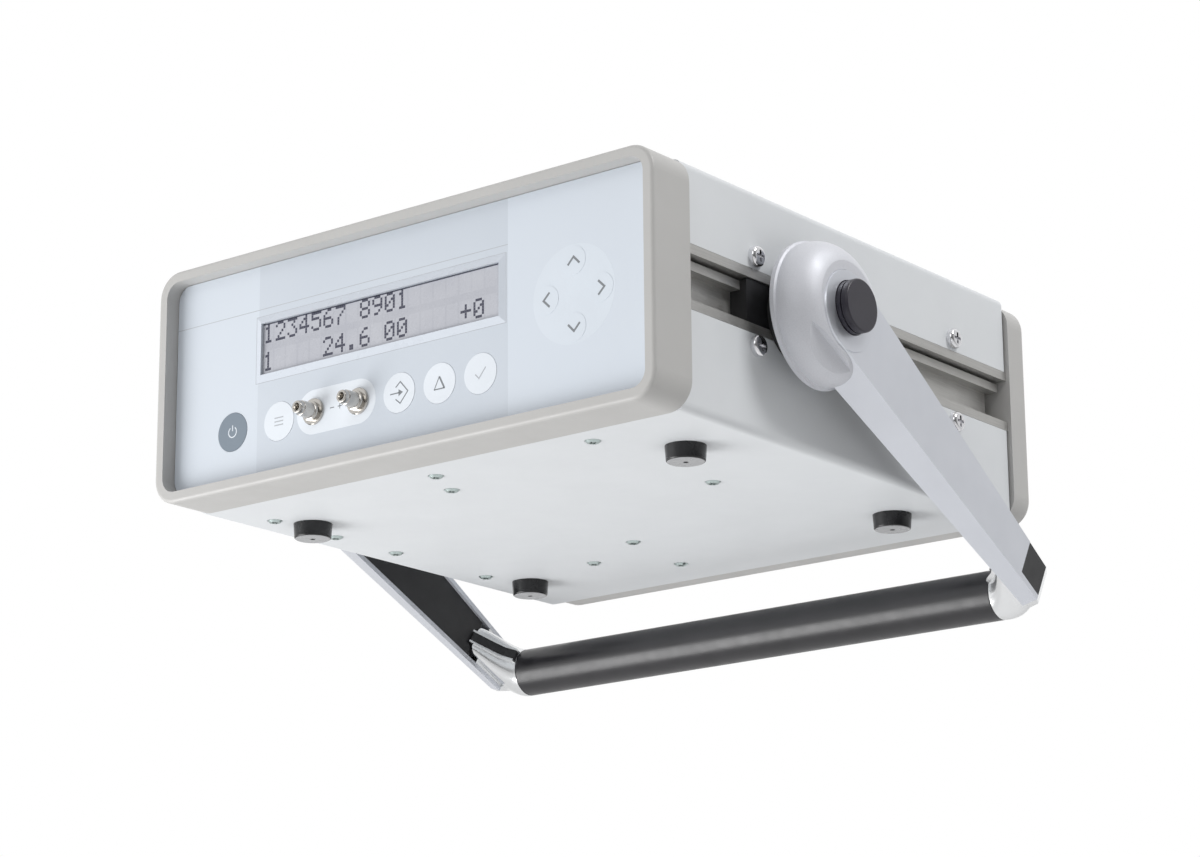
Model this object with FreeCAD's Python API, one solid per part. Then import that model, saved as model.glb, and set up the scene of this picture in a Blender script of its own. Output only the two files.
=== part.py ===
"""Bench differential-pressure calibrator in a half-width instrument case with a swing handle.

Working coordinates, in millimetres: X to the right seen from the front, Y from the front
edge of the case towards the back, Z up from the lower edge of the front frame. Before
export everything is shifted so that the origin is the bottom centre of the whole part.
"""

import FreeCAD, Part

import math
import os

V = FreeCAD.Vector
X_AXIS = V(1, 0, 0)
Y_AXIS = V(0, 1, 0)
Z_AXIS = V(0, 0, 1)

# Case
CASE_W = 236.0
CASE_H = 90.5
CORNER_R = 10.0
FRAME_DEPTH = 20.6
FRAME_BAR = 4.25
PANEL_RECESS = 6.2
COVER_HALF_W = 114.4
COVER_GAP_Z = 0.3
COVER_T = 2.0
COVER_R = 3.2
COVER_END = 228.8
REAR_START = 230.0
CASE_DEPTH = 242.5
REAR_HALF_W = 116.0
REAR_INSET_Z = 1.2

# Side rails with their long grooves
RAIL_MID_Z = 48.6
RAIL_HALF = 11.8
GROOVE_HALF = 8.3
GROOVE_FLOOR = 102.5
RAIL_TAB_T = 2.3
RIB_END = 228.5
BLOCK_START = 58.7
BLOCK_END = 135.8

# Front panel and display
MEMBRANE_T = 1.0
PANEL_T = 3.0
WINDOW_X = (-69.3, 45.5)
WINDOW_Z = (43.4, 63.3)
BEZEL_W = 2.8
BEZEL_RISE = 0.7

# Keys
KEY_R = 7.4
ARROW_R = 5.2
KEY_GAP = 0.1
KEY_PROUD = 0.1
KEY_TRAVEL = 0.5
KEY_ROW_Z = 24.2
PAD_X = 78.7
PAD_Z = 44.8
PAD_REACH = 12.0
STEM_R = 2.5

# Hose ports
PORT_X = (-42.6, -20.8)
PORT_Z = 24.6
PORT_REACH = 9.3
BARB_R = 3.0
BARB_LEN = 5.0
PORT_BORE_R = 0.95

# Handle
PIVOT_Y = 85.3
PIVOT_Z = 46.6
ARM_IN = 127.9
ARM_OUT = 139.85
ARM_LEAN = 0.0408
ARM_HALF = 14.7
ARM_TAPER = 0.0443
ARM_BEVEL = 0.38
ARM_DROP = 1.5
ARM_LEN = 152.1
ARM_WEB = 2.5
ARM_FLANGE = 2.0
CAP_MARGIN = 1.9
CAP_FLOOR = 129.6
REST_ANGLE = -28.9
GRIP_S = 153.3
GRIP_DROP = 3.0
GRIP_R = 9.75
GRIP_END = 115.9
STRIP_HALF = 2.2
RIB_T = 0.9
HUB_IN = 123.8
HUB_RIM_R = 26.9
HUB_RIM_T = 2.2
HUB_WALL_R = 26.1
HUB_TOP = 139.2
HUB_TOP_R = 17.3
HUB_FLOOR = 125.6
HUB_FLOOR_T = 2.0
DETENT_R = 15.5
BOLT_R = 4.0
BUTTON_R = 9.7
BUTTON_IN = 131.6
BUTTON_TOP = 144.6
BUTTON_HOLLOW = 141.8
BOLT_HEAD_T = 3.2
BOLT_HEAD_TOP = HUB_FLOOR + HUB_FLOOR_T + 0.3 + BOLT_HEAD_T

# Screws: M4 pan heads on the sides, M3 countersunk heads underneath
SIDE_SCREW_Y = (63.2, 191.5)
SIDE_SCREW_DZ = 16.4
M4_R = 1.95
M3_R = 1.45

# Points under the boards, each with a countersunk screw and a standoff
MAIN_POINTS = [(-99.4, 45.9), (-99.4, 80.0), (-99.4, 115.0), (-8.1, 34.3), (-17.0, 53.3)]
SENSOR_POINTS = [(65.3, 33.0), (63.5, 105.7)]
SUPPLY_POINTS = [(-99.4, 170.2), (-16.1, 161.0), (-50.3, 179.4), (-24.6, 203.3)]
REAR_SCREWS = [(-107.5, 12.0), (107.5, 12.0), (-107.5, CASE_H - 12), (107.5, CASE_H - 12)]
FOOT_POINTS = [(-91.9, 59.0), (-91.9, 189.5), (86.2, 59.0), (86.2, 189.5)]
FOOT_H = 5.9
FOOT_BORE = 4.3
STANDOFF_H = 8.0
BOARD_T = 1.6


def box(x0, x1, y0, y1, z0, z1):
    """Box between two corners."""
    return Part.makeBox(x1 - x0, y1 - y0, z1 - z0, V(x0, y0, z0))


def rod(r, start, axis, length):
    """Cylinder of radius r from start along axis."""
    return Part.makeCylinder(r, length, start, axis)


def cone(r0, r1, start, axis, length):
    """Truncated cone, r0 at start and r1 at its far end."""
    return Part.makeCone(r0, r1, length, start, axis)


def hexagon(across, start, axis, length):
    """Hexagonal prism with the given width across flats."""
    radius = across / math.sqrt(3.0)
    turn = FreeCAD.Rotation(Z_AXIS, axis)
    points = []
    for i in range(7):
        angle = math.radians(60.0 * i)
        flat = V(radius * math.cos(angle), radius * math.sin(angle), 0)
        points.append(start + turn.multVec(flat))
    return Part.Face(Part.makePolygon(points)).extrude(axis * length)


def polygon(points):
    """Flat face with these corners."""
    return Part.Face(Part.makePolygon(points + points[:1]))


def rounded(x0, x1, z0, z1, r, y0, y1):
    """Rectangle with round corners in the XZ plane, drawn out along Y."""
    solid = box(x0, x1, y0, y1, z0, z1)
    edges = [e for e in solid.Edges if abs(e.tangentAt(e.FirstParameter).y) > 0.99]
    return solid.makeFillet(r, edges)


def mirrored(shape):
    """The same shape on the other side of the case."""
    return shape.mirror(V(0, 0, 0), X_AXIS)


def group(shapes):
    """Several separate solids in one node."""
    return Part.makeCompound(shapes)


def cut_all(solid, tools):
    """Take every tool away from solid."""
    return solid.cut(Part.makeCompound(tools))


def cross_recess(centre, axis, across, depth):
    """Cutter for a cross-recessed screw drive, going in against axis."""
    turn = FreeCAD.Rotation(Z_AXIS, axis)
    blade = across * 0.24
    bars = []
    for lx, ly in ((across, blade), (blade, across)):
        bar = Part.makeBox(lx, ly, depth + 1.0, V(-lx / 2, -ly / 2, -depth))
        bars.append(bar)
    cross = bars[0].fuse(bars[1])
    cross.Placement = FreeCAD.Placement(centre, turn)
    return cross


def arm_out(s):
    """X of the arm's outer face at distance s from the pivot; the arms lean towards each other."""
    return ARM_OUT - ARM_LEAN * s


def arm_half(s, x):
    """Half width of the arm at distance s and height x; its narrow faces are bevelled."""
    return ARM_HALF - ARM_TAPER * s + ARM_BEVEL * (arm_out(s) - x)


def place_handle(shape):
    """Swing a shape from lying along +Y at the pivot to the rest angle."""
    turn = FreeCAD.Rotation(X_AXIS, REST_ANGLE)
    moved = shape.copy()
    swing = FreeCAD.Placement(V(0, PIVOT_Y, PIVOT_Z), turn)
    moved.Placement = swing.multiply(moved.Placement)
    return moved


# ---------------------------------------------------------------- case shells


def front_frame():
    half = CASE_W / 2
    seat = PANEL_RECESS + MEMBRANE_T + PANEL_T
    ring = rounded(-half, half, 0, CASE_H, CORNER_R, 0, FRAME_DEPTH)
    front = [e for e in ring.Edges if e.BoundBox.YMax < 0.01]
    ring = ring.makeFillet(1.4, front)
    inner_half = half - FRAME_BAR
    low, high = FRAME_BAR, CASE_H - FRAME_BAR
    mouth = rounded(-inner_half, inner_half, low, high, 6.0, -1, seat)
    well = rounded(-109.0, 109.0, low + 3, high - 3, 4.0, seat - 1, FRAME_DEPTH + 1)
    ring = ring.cut(mouth).cut(well)
    tongue_out = COVER_GAP_Z + COVER_T + 0.2
    tongues = []
    for z0 in (tongue_out, CASE_H - tongue_out - 4.4):
        tongues.append(box(-92, 92, FRAME_DEPTH - 0.5, FRAME_DEPTH + 7, z0, z0 + 4.4))
    return ring.fuse(tongues).removeSplitter()


def rear_frame():
    low, high = REAR_INSET_Z, CASE_H - REAR_INSET_Z
    ring = rounded(-REAR_HALF_W, REAR_HALF_W, low, high, CORNER_R, REAR_START, CASE_DEPTH)
    back = [e for e in ring.Edges if e.BoundBox.YMin > CASE_DEPTH - 0.01]
    ring = ring.makeFillet(2.5, back)
    well = rounded(-104, 104, 7.2, CASE_H - 7.2, 4.0, REAR_START - 1, CASE_DEPTH)
    mouth = rounded(-111, 111, 4.5, CASE_H - 4.5, 6.0, CASE_DEPTH - 6.5, CASE_DEPTH + 1)
    pilots = [rod(M3_R + 0.05, V(x, 200, z), Y_AXIS, 60) for x, z in REAR_SCREWS]
    ring = cut_all(ring, [well, mouth] + pilots)
    tongue_out = COVER_GAP_Z + COVER_T + 0.2
    tongues = []
    for z0 in (tongue_out, CASE_H - tongue_out - 4.6):
        tongues.append(box(-92, 92, REAR_START - 8, REAR_START + 0.5, z0, z0 + 4.6))
    return ring.fuse(tongues).removeSplitter()


def cover_tube():
    half = COVER_HALF_W
    low, high = COVER_GAP_Z, CASE_H - COVER_GAP_Z
    outer = rounded(-half, half, low, high, COVER_R, FRAME_DEPTH, COVER_END)
    t = COVER_T
    bore = rounded(-half + t, half - t, low + t, high - t, 1.2, 0, COVER_END + 9)
    return outer.cut(bore)


def side_screw_points(side):
    points = []
    for y in SIDE_SCREW_Y:
        for dz in (-SIDE_SCREW_DZ, SIDE_SCREW_DZ):
            points.append(V(side * COVER_HALF_W, y, RAIL_MID_Z + dz))
    return points


def side_screw_holes():
    holes = []
    for side in (-1, 1):
        for point in side_screw_points(side):
            start = point + V(-side * 12, 0, 0)
            holes.append(rod(M4_R + 0.15, start, V(side, 0, 0), 20))
    return holes


def top_cover():
    keep = box(-200, 200, 0, 300, RAIL_MID_Z + RAIL_HALF + 0.1, 200)
    return cut_all(cover_tube().common(keep), side_screw_holes())


def bottom_cover():
    keep = box(-200, 200, 0, 300, -10, RAIL_MID_Z - RAIL_HALF - 0.1)
    tub = cut_all(cover_tube().common(keep), side_screw_holes())
    cuts = []
    for x, y in MAIN_POINTS + SENSOR_POINTS + SUPPLY_POINTS:
        cuts.append(cone(3.1, 1.6, V(x, y, COVER_GAP_Z - 0.05), Z_AXIS, 1.6))
        cuts.append(rod(1.6, V(x, y, 0), Z_AXIS, 5))
    for x, y in FOOT_POINTS:
        cuts.append(rod(1.6, V(x, y, 0), Z_AXIS, 5))
    return cut_all(tub, cuts)


def side_rail(side):
    mid, out = RAIL_MID_Z, COVER_HALF_W
    y0, y1 = FRAME_DEPTH + 0.2, REAR_START - 0.2
    inner = GROOVE_FLOOR - 2.5
    rail = box(inner, out, y0, y1, mid - RAIL_HALF, mid + RAIL_HALF)
    tab_out = out - COVER_T - 0.1
    tab = box(tab_out - RAIL_TAB_T, tab_out, y0, y1, mid - 21.5, mid + 21.5)
    groove = box(GROOVE_FLOOR, out + 5, y0 - 1, y1 + 1, mid - GROOVE_HALF, mid + GROOVE_HALF)
    rib = box(GROOVE_FLOOR - 1, out - 3.2, y0, RIB_END, mid + 3.9, mid + 7.2)
    floor = box(GROOVE_FLOOR - 1, out - 7.5, y0, RIB_END - 2.5, mid - GROOVE_HALF, mid + 3.9)
    block_room = box(GROOVE_FLOOR, out + 5, BLOCK_START - 0.2, 136.0, mid - GROOVE_HALF, mid + GROOVE_HALF)
    strip = rib.fuse(floor).cut(block_room)
    body = rail.fuse(tab).cut(groove).fuse(strip).removeSplitter()
    body = cut_all(body, side_screw_holes())
    return body if side > 0 else mirrored(body)


def feet():
    solids = []
    bottom = COVER_GAP_Z - FOOT_H
    for x, y in FOOT_POINTS:
        foot = cone(7.45, 7.05, V(x, y, COVER_GAP_Z), V(0, 0, -1), FOOT_H)
        foot = foot.makeFillet(0.8, [e for e in foot.Edges if e.BoundBox.ZMax < bottom + 1])
        bore = rod(1.5, V(x, y, COVER_GAP_Z - FOOT_BORE), Z_AXIS, FOOT_BORE + 1)
        dimple = rod(1.0, V(x, y, bottom - 1), Z_AXIS, 1.5)
        solids.append(cut_all(foot, [bore, dimple]))
    return group(solids)


def foot_screws():
    """Pan heads on the floor of the bottom cover, with shanks down into the feet."""
    solids = []
    floor_z = COVER_GAP_Z + COVER_T
    for x, y in FOOT_POINTS:
        head = rod(2.75, V(x, y, floor_z), Z_AXIS, 2.0)
        shank = rod(M3_R, V(x, y, COVER_GAP_Z - FOOT_BORE + 0.2), Z_AXIS, COVER_T + FOOT_BORE)
        cross = cross_recess(V(x, y, floor_z + 2.0), Z_AXIS, 3.2, 1.1)
        solids.append(head.fuse(shank).cut(cross))
    return group(solids)


def side_screws():
    solids = []
    for side in (-1, 1):
        axis = V(side, 0, 0)
        for point in side_screw_points(side):
            head = rod(3.85, point, axis, 2.7)
            rim = [e for e in head.Edges if abs(e.BoundBox.XMin) > COVER_HALF_W + 2.6]
            rim = [e for e in rim if e.BoundBox.XLength < 0.01]
            head = head.makeFillet(1.3, rim)
            shank = rod(M4_R, point - axis * 6.0, axis, 6.1)
            cross = cross_recess(point + axis * 2.7, axis, 4.4, 1.6)
            solids.append(head.fuse(shank).cut(cross))
    return group(solids)


def bottom_screws():
    solids = []
    for x, y in MAIN_POINTS + SENSOR_POINTS + SUPPLY_POINTS:
        head = cone(2.85, 1.45, V(x, y, COVER_GAP_Z), Z_AXIS, 1.5)
        raised = cone(2.1, 2.85, V(x, y, COVER_GAP_Z - 0.7), Z_AXIS, 0.7)
        shank = rod(M3_R, V(x, y, COVER_GAP_Z + 1.4), Z_AXIS, 6.0)
        cross = cross_recess(V(x, y, COVER_GAP_Z - 0.7), V(0, 0, -1), 3.0, 1.2)
        solids.append(head.fuse([raised, shank]).cut(cross))
    return group(solids)


def standoffs():
    solids = []
    base = COVER_GAP_Z + COVER_T
    for x, y in MAIN_POINTS + SENSOR_POINTS + SUPPLY_POINTS:
        post = hexagon(5.5, V(x, y, base), Z_AXIS, STANDOFF_H)
        solids.append(post.cut(rod(M3_R + 0.05, V(x, y, base - 1), Z_AXIS, 7.0)))
    return group(solids)


# ---------------------------------------------------------------- front


KEYS = {
    "power_key": (-83.6, KEY_ROW_Z, KEY_R),
    "menu_key": (-60.0, KEY_ROW_Z, KEY_R),
    "enter_key": (-1.2, KEY_ROW_Z, KEY_R),
    "range_key": (17.8, KEY_ROW_Z, KEY_R),
    "test_key": (36.7, KEY_ROW_Z, KEY_R),
    "up_key": (PAD_X, PAD_Z + PAD_REACH, ARROW_R),
    "down_key": (PAD_X, PAD_Z - PAD_REACH, ARROW_R),
    "left_key": (PAD_X - PAD_REACH, PAD_Z, ARROW_R),
    "right_key": (PAD_X + PAD_REACH, PAD_Z, ARROW_R),
}
PANEL_Y = PANEL_RECESS + MEMBRANE_T
PANEL_BACK = PANEL_Y + PANEL_T
SWITCH_TOP = PANEL_BACK + 3.0
STEM_LEN = SWITCH_TOP - PANEL_Y - KEY_TRAVEL - 0.05


def panel_blank(y0, y1):
    half = CASE_W / 2 - FRAME_BAR - 0.2
    low, high = FRAME_BAR + 0.2, CASE_H - FRAME_BAR - 0.2
    return rounded(-half, half, low, high, 5.8, y0, y1)


def window_cut(margin, y0, y1):
    return box(WINDOW_X[0] - margin, WINDOW_X[1] + margin, y0, y1,
               WINDOW_Z[0] - margin, WINDOW_Z[1] + margin)


def front_membrane():
    sheet = panel_blank(PANEL_RECESS, PANEL_Y)
    cuts = [window_cut(BEZEL_W + 0.05, 0, 20)]
    for x, z, r in KEYS.values():
        cuts.append(rod(r + KEY_GAP, V(x, 0, z), Y_AXIS, 20))
    for x in PORT_X:
        cuts.append(rod(2.6, V(x, 0, PORT_Z), Y_AXIS, 20))
    return cut_all(sheet, cuts)


def front_panel():
    plate = panel_blank(PANEL_Y, PANEL_BACK)
    cuts = [window_cut(BEZEL_W + 0.05, 0, 20)]
    for x, z, r in KEYS.values():
        cuts.append(rod(r + 0.25, V(x, PANEL_Y - 1, z), Y_AXIS, 1.9))
        cuts.append(rod(STEM_R + 0.4, V(x, 0, z), Y_AXIS, 20))
    for x in PORT_X:
        cuts.append(rod(2.6, V(x, 0, PORT_Z), Y_AXIS, 20))
    return cut_all(plate, cuts)


def key(name):
    x, z, r = KEYS[name]
    front = PANEL_RECESS - KEY_PROUD
    cap = rod(r, V(x, front, z), Y_AXIS, MEMBRANE_T)
    stem = rod(STEM_R, V(x, PANEL_Y - 0.5, z), Y_AXIS, STEM_LEN + 0.5)
    return cap.fuse(stem)


def display_bezel():
    """Mitred frame that slopes up from the membrane to the edge of the window."""
    x0, x1 = WINDOW_X
    z0, z1 = WINDOW_Z
    w = BEZEL_W
    low = Part.makePolygon([V(x0 - w, PANEL_RECESS, z0 - w), V(x1 + w, PANEL_RECESS, z0 - w),
                            V(x1 + w, PANEL_RECESS, z1 + w), V(x0 - w, PANEL_RECESS, z1 + w),
                            V(x0 - w, PANEL_RECESS, z0 - w)])
    y = PANEL_RECESS - BEZEL_RISE
    high = Part.makePolygon([V(x0, y, z0), V(x1, y, z0), V(x1, y, z1), V(x0, y, z1), V(x0, y, z0)])
    slope = Part.makeLoft([low, high], True, True)
    base = window_cut(w, PANEL_RECESS - 0.02, PANEL_BACK - 0.6)
    return base.fuse(slope).cut(window_cut(0.0, -5, 20)).removeSplitter()


def display_glass():
    return window_cut(-0.15, PANEL_RECESS + 0.5, PANEL_RECESS + 1.9)


def display_module():
    """Liquid-crystal cell in its metal frame, on its own board with solder pads."""
    cell = window_cut(-0.15, PANEL_RECESS + 1.9, PANEL_BACK + 0.4)
    tray = window_cut(1.9, PANEL_BACK - 0.4, PANEL_BACK + 1.4)
    board = box(-77, 53.5, PANEL_BACK + 1.4, PANEL_BACK + 3.0, 37.5, 75.0)
    chips = []
    for x in (-40, -5, 28):
        chips.append(box(x, x + 14, PANEL_BACK + 2.9, PANEL_BACK + 4.8, 48, 60))
    return cell.fuse([tray, board] + chips).removeSplitter()


def keypad_board():
    """L-shaped board behind the panel with one dome switch under each key."""
    front, back = SWITCH_TOP + 0.6, SWITCH_TOP + 2.2
    row = box(-96, 100, front, back, 14, 34.5)
    pad = box(58, 100, front, back, 14, 63)
    board = row.fuse(pad)
    for x in PORT_X:
        board = board.cut(rod(6.0, V(x, 0, PORT_Z), Y_AXIS, 40))
    domes = []
    for x, z, r in KEYS.values():
        domes.append(cone(2.0, 3.0, V(x, SWITCH_TOP, z), Y_AXIS, 0.65))
    posts = []
    for x in (-94, -1, 98):
        posts.append(box(x - 1.5, x + 1.5, PANEL_BACK, front + 0.1, 15, 18))
    return board.fuse(domes + posts)


def hose_port(x):
    """Nickel-plated nipple: flange, round neck, hose shank and narrow tip."""
    c = V(x, PANEL_RECESS, PORT_Z)
    out = V(0, -1, 0)
    flange = rod(5.0, c, out, 1.0)
    neck = rod(3.7, c + out * 0.9, out, 1.8)
    shank = rod(BARB_R, c + out * 2.6, out, BARB_LEN)
    tip = rod(2.45, c + out * (2.5 + BARB_LEN), out, PORT_REACH - 2.5 - BARB_LEN)
    nose = [e for e in tip.Edges if e.BoundBox.YMax < c.y - PORT_REACH + 0.01]
    tip = tip.makeFillet(0.5, nose)
    thread = rod(2.5, c, Y_AXIS, 9.5)
    tail = rod(2.0, c + Y_AXIS * 9.4, Y_AXIS, 7.0)
    body = flange.fuse([neck, shank, tip, thread, tail]).removeSplitter()
    mouth = cone(PORT_BORE_R + 0.6, PORT_BORE_R, c + out * (PORT_REACH + 0.01), Y_AXIS, 1.2)
    return body.cut(rod(PORT_BORE_R, V(x, -20, PORT_Z), Y_AXIS, 60)).cut(mouth)


def port_nuts():
    solids = []
    for x in PORT_X:
        nut = hexagon(8.0, V(x, PANEL_BACK, PORT_Z), Y_AXIS, 2.7)
        solids.append(nut.cut(rod(2.55, V(x, 0, PORT_Z), Y_AXIS, 40)))
    return group(solids)


# ---------------------------------------------------------------- handle


def arm_section(s, x_in, x_out, inset):
    """Closed outline of the arm across s, wide towards the case and slim outside."""
    wide, slim = arm_half(s, x_in) - inset, arm_half(s, x_out) - inset
    points = [V(x_in, s, -wide), V(x_out, s, -slim), V(x_out, s, slim), V(x_in, s, wide)]
    outline = Part.makePolygon(points + points[:1])
    outline.translate(V(0, 0, -ARM_DROP))
    return outline


def arm_block(s0, s1, x_in, sink, inset):
    """Part of the arm from s0 to s1 and from x_in to sink below its outer face."""
    ends = [arm_section(s, x_in, arm_out(s) - sink, inset) for s in (s0, s1)]
    return Part.makeLoft(ends, True, True)


def arm_root(x_in, x_out, grow):
    """Round end of the arm about the pivot."""
    wide, slim = arm_half(0, x_in) + grow, arm_half(0, x_out) + grow
    return cone(wide, slim, V(x_in, 0, -ARM_DROP), X_AXIS, x_out - x_in)


def cap_room(gap):
    """Room for the black cap in the outer rear corner of the arm."""
    low = CAP_MARGIN - ARM_DROP - arm_half(ARM_LEN, arm_out(ARM_LEN))
    return box(CAP_FLOOR + gap, 150, ARM_LEN - 14 + gap, ARM_LEN + 1, low + gap, 30)


def handle_arm():
    arm = arm_root(ARM_IN, ARM_OUT, 0).fuse(arm_block(0, ARM_LEN, ARM_IN, 0, 0))
    channel = arm_block(27, ARM_LEN + 1, ARM_IN - 1, ARM_WEB, ARM_FLANGE)
    button_room = rod(BUTTON_R + 0.3, V(ARM_IN - 1, 0, 0), X_AXIS, 30)
    return cut_all(arm, [channel, button_room, cap_room(0)])


def corner_cap():
    return arm_block(ARM_LEN - 20, ARM_LEN, ARM_IN, 0.15, 0.1).common(cap_room(0.1))


def arm_insert():
    """Black strip that lines the channel of the arm."""
    strip = arm_block(28, 130, ARM_IN + 0.9, ARM_WEB, ARM_FLANGE + 0.05)
    return strip.common(box(ARM_IN, ARM_IN + 2.9, 0, 200, -40, 40))


def hub():
    """Turned hub with a domed wall, cut off by a slanting flat along the arm's lower side."""
    bulge = Part.Arc(V(HUB_IN + HUB_RIM_T, HUB_WALL_R, 0), V(134.6, 23.9, 0), V(HUB_TOP, HUB_TOP_R, 0))
    corners = [V(HUB_TOP, HUB_TOP_R, 0), V(HUB_TOP, 0, 0), V(HUB_IN, 0, 0), V(HUB_IN, HUB_RIM_R, 0),
               V(HUB_IN + HUB_RIM_T - 0.5, HUB_RIM_R, 0), V(HUB_IN + HUB_RIM_T, HUB_WALL_R, 0)]
    outline = Part.Wire([bulge.toShape()] + Part.makePolygon(corners).Edges)
    body = Part.Face(outline).revolve(V(0, 0, 0), X_AXIS, 360)
    slant = [V(150, 0, -17.6), V(136.6, 0, -17.6), V(131.4, 0, -30), V(150, 0, -30)]
    flat = polygon(slant)
    flat.translate(V(0, -40, 0))
    seat = arm_block(0, ARM_LEN, ARM_IN - 0.05, -1, -0.05)
    seat_root = arm_root(ARM_IN - 0.05, ARM_OUT + 1, 0.05)
    ring_room = rod(DETENT_R + 0.6, V(HUB_IN - 1, 0, 0), X_AXIS, HUB_FLOOR - HUB_IN + 1)
    bearing = rod(BOLT_R + 0.05, V(HUB_IN - 1, 0, 0), X_AXIS, 20)
    button_room = rod(BUTTON_R + 0.3, V(HUB_FLOOR + HUB_FLOOR_T, 0, 0), X_AXIS, 30)
    return cut_all(body, [flat.extrude(V(0, 80, 0)), seat, seat_root, ring_room, bearing, button_room])


def loop_wire(x, s_mid, drop, s_half, p_half, power):
    """Closed superellipse in the plane at x, 32 points joined by a smooth curve."""
    points = []
    count = 32
    for i in range(count):
        a = 2 * math.pi * i / count
        c, s = math.cos(a), math.sin(a)
        u = math.copysign(abs(c) ** (2 / power), c)
        w = math.copysign(abs(s) ** (2 / power), s)
        points.append(V(x, s_mid + s_half * u, p_half * w - drop))
    curve = Part.BSplineCurve()
    curve.interpolate(points, PeriodicFlag=True)
    return Part.Wire([curve.toShape()])


def corner_rib(proud, p_low, p_high):
    """Upright plate that follows the hollow side of the corner from the arm to the grip."""
    curve = [(ARM_IN, 127.6), (125.3, 131.9), (122.4, 136.6), (119.6, 140.6), (GRIP_END + 0.1, 143.3)]
    points = [V(x, s - proud, p_low) for x, s in curve]
    points += [V(GRIP_END + 0.1, GRIP_S - 4, p_low), V(ARM_IN, GRIP_S - 18, p_low)]
    return polygon(points).extrude(V(0, 0, p_high - p_low))


def grip_corner():
    """Cast corner that flares from the end of the arm into the end of the grip."""
    sections = [
        loop_wire(GRIP_END, GRIP_S, GRIP_DROP, GRIP_R, GRIP_R, 2.0),
        loop_wire(GRIP_END + 2.2, GRIP_S - 0.6, GRIP_DROP, GRIP_R + 0.6, GRIP_R - 0.3, 2.2),
        loop_wire(GRIP_END + 6.5, GRIP_S - 3.6, 2.5, GRIP_R + 2.6, 8.8, 2.8),
        loop_wire(ARM_IN, GRIP_S - 10.2, ARM_DROP, GRIP_R + 5.2, 7.7, 4.0),
    ]
    flare = Part.makeLoft(sections, True, False)
    out = arm_out(ARM_LEN)
    side = arm_half(ARM_LEN, out)
    wedge_in = ARM_IN - 3.5
    steps = []
    for ds, reach, narrow in ((0, 0, 0), (3.0, 1.3, 0.6), (7.4, out - wedge_in - 0.5, 3.0)):
        low, high = -ARM_DROP - side + narrow, -ARM_DROP + side - narrow
        s = ARM_LEN + ds
        corners = [V(wedge_in, s, low), V(out - reach, s, low), V(out - reach, s, high), V(wedge_in, s, high)]
        steps.append(Part.makePolygon(corners + corners[:1]))
    wedge = Part.makeLoft(steps, True, True)
    tongue = arm_block(134, ARM_LEN, ARM_IN, ARM_WEB, ARM_FLANGE + 0.05)
    tongue = tongue.common(box(ARM_IN, CAP_FLOOR - 0.3, 0, 200, -40, 40))
    middle = -(ARM_DROP + GRIP_DROP) / 2
    inner, outer = STRIP_HALF, STRIP_HALF + RIB_T
    ribs = [corner_rib(1.6, middle + inner, middle + outer), corner_rib(1.6, middle - outer, middle - inner)]
    return flare.fuse([wedge, tongue] + ribs)


def corner_strip():
    """Black strip between the two ribs of the corner."""
    middle = -(ARM_DROP + GRIP_DROP) / 2
    half = STRIP_HALF - 0.05
    return corner_rib(1.0, middle - half, middle + half).cut(grip_corner())


def handle_grip():
    """Round bar with softened ends."""
    bar = rod(GRIP_R, V(-GRIP_END, GRIP_S, -GRIP_DROP), X_AXIS, 2 * GRIP_END)
    return bar.makeFillet(0.5, [e for e in bar.Edges if e.BoundBox.XLength < 0.01])


def release_button():
    """Hollow cap with a groove under its head, pressed in to free the handle."""
    base = rod(BUTTON_R, V(BUTTON_IN, 0, 0), X_AXIS, BUTTON_TOP - BUTTON_IN)
    top = [e for e in base.Edges if e.BoundBox.XMin > BUTTON_TOP - 0.01]
    base = base.makeFillet(0.7, top)
    groove_ring = rod(BUTTON_R + 1, V(BUTTON_TOP - 3.0, 0, 0), X_AXIS, 0.5)
    groove_ring = groove_ring.cut(rod(BUTTON_R - 0.5, V(130, 0, 0), X_AXIS, 20))
    hollow = rod(7.4, V(120, 0, 0), X_AXIS, BUTTON_HOLLOW - 120)
    return base.cut(groove_ring).cut(hollow)


def release_spring():
    """Coil between the pivot bolt's head and the inside of the button, in short straight runs."""
    radius, wire, turns, runs, sides = 5.4, 0.45, 5, 16, 6
    start, end = BOLT_HEAD_TOP + wire + 0.05, BUTTON_HOLLOW - wire - 0.05
    rings = []
    for step in range(turns * runs + 1):
        turned = 2 * math.pi * step / runs
        outward = V(0, math.cos(turned), math.sin(turned))
        middle = X_AXIS * (start + (end - start) * step / (turns * runs)) + outward * radius
        round_wire = [2 * math.pi * side / sides for side in range(sides)]
        rings.append([middle + outward * (wire * math.cos(a)) + X_AXIS * (wire * math.sin(a))
                      for a in round_wire])
    faces = [polygon(rings[0]), polygon(rings[-1])]
    for here, there in zip(rings, rings[1:]):
        for side in range(sides):
            other = (side + 1) % sides
            faces.append(polygon([here[side], here[other], there[other]]))
            faces.append(polygon([here[side], there[other], there[side]]))
    shell = Part.makeShell(faces)
    shell.sewShape()
    coil = Part.makeSolid(shell)
    if coil.Volume < 0:
        coil.reverse()
    return coil


def pivot_bolt():
    """Shoulder bolt: the hub turns on its shank under the wide head."""
    head_in = BOLT_HEAD_TOP - BOLT_HEAD_T
    shank = rod(BOLT_R, V(106, 0, 0), X_AXIS, head_in + 0.2 - 106)
    head = rod(6.5, V(head_in, 0, 0), X_AXIS, BOLT_HEAD_T)
    socket = hexagon(5.0, V(BOLT_HEAD_TOP - 2.2, 0, 0), X_AXIS, 3.0)
    return shank.fuse(head).cut(socket)


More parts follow.
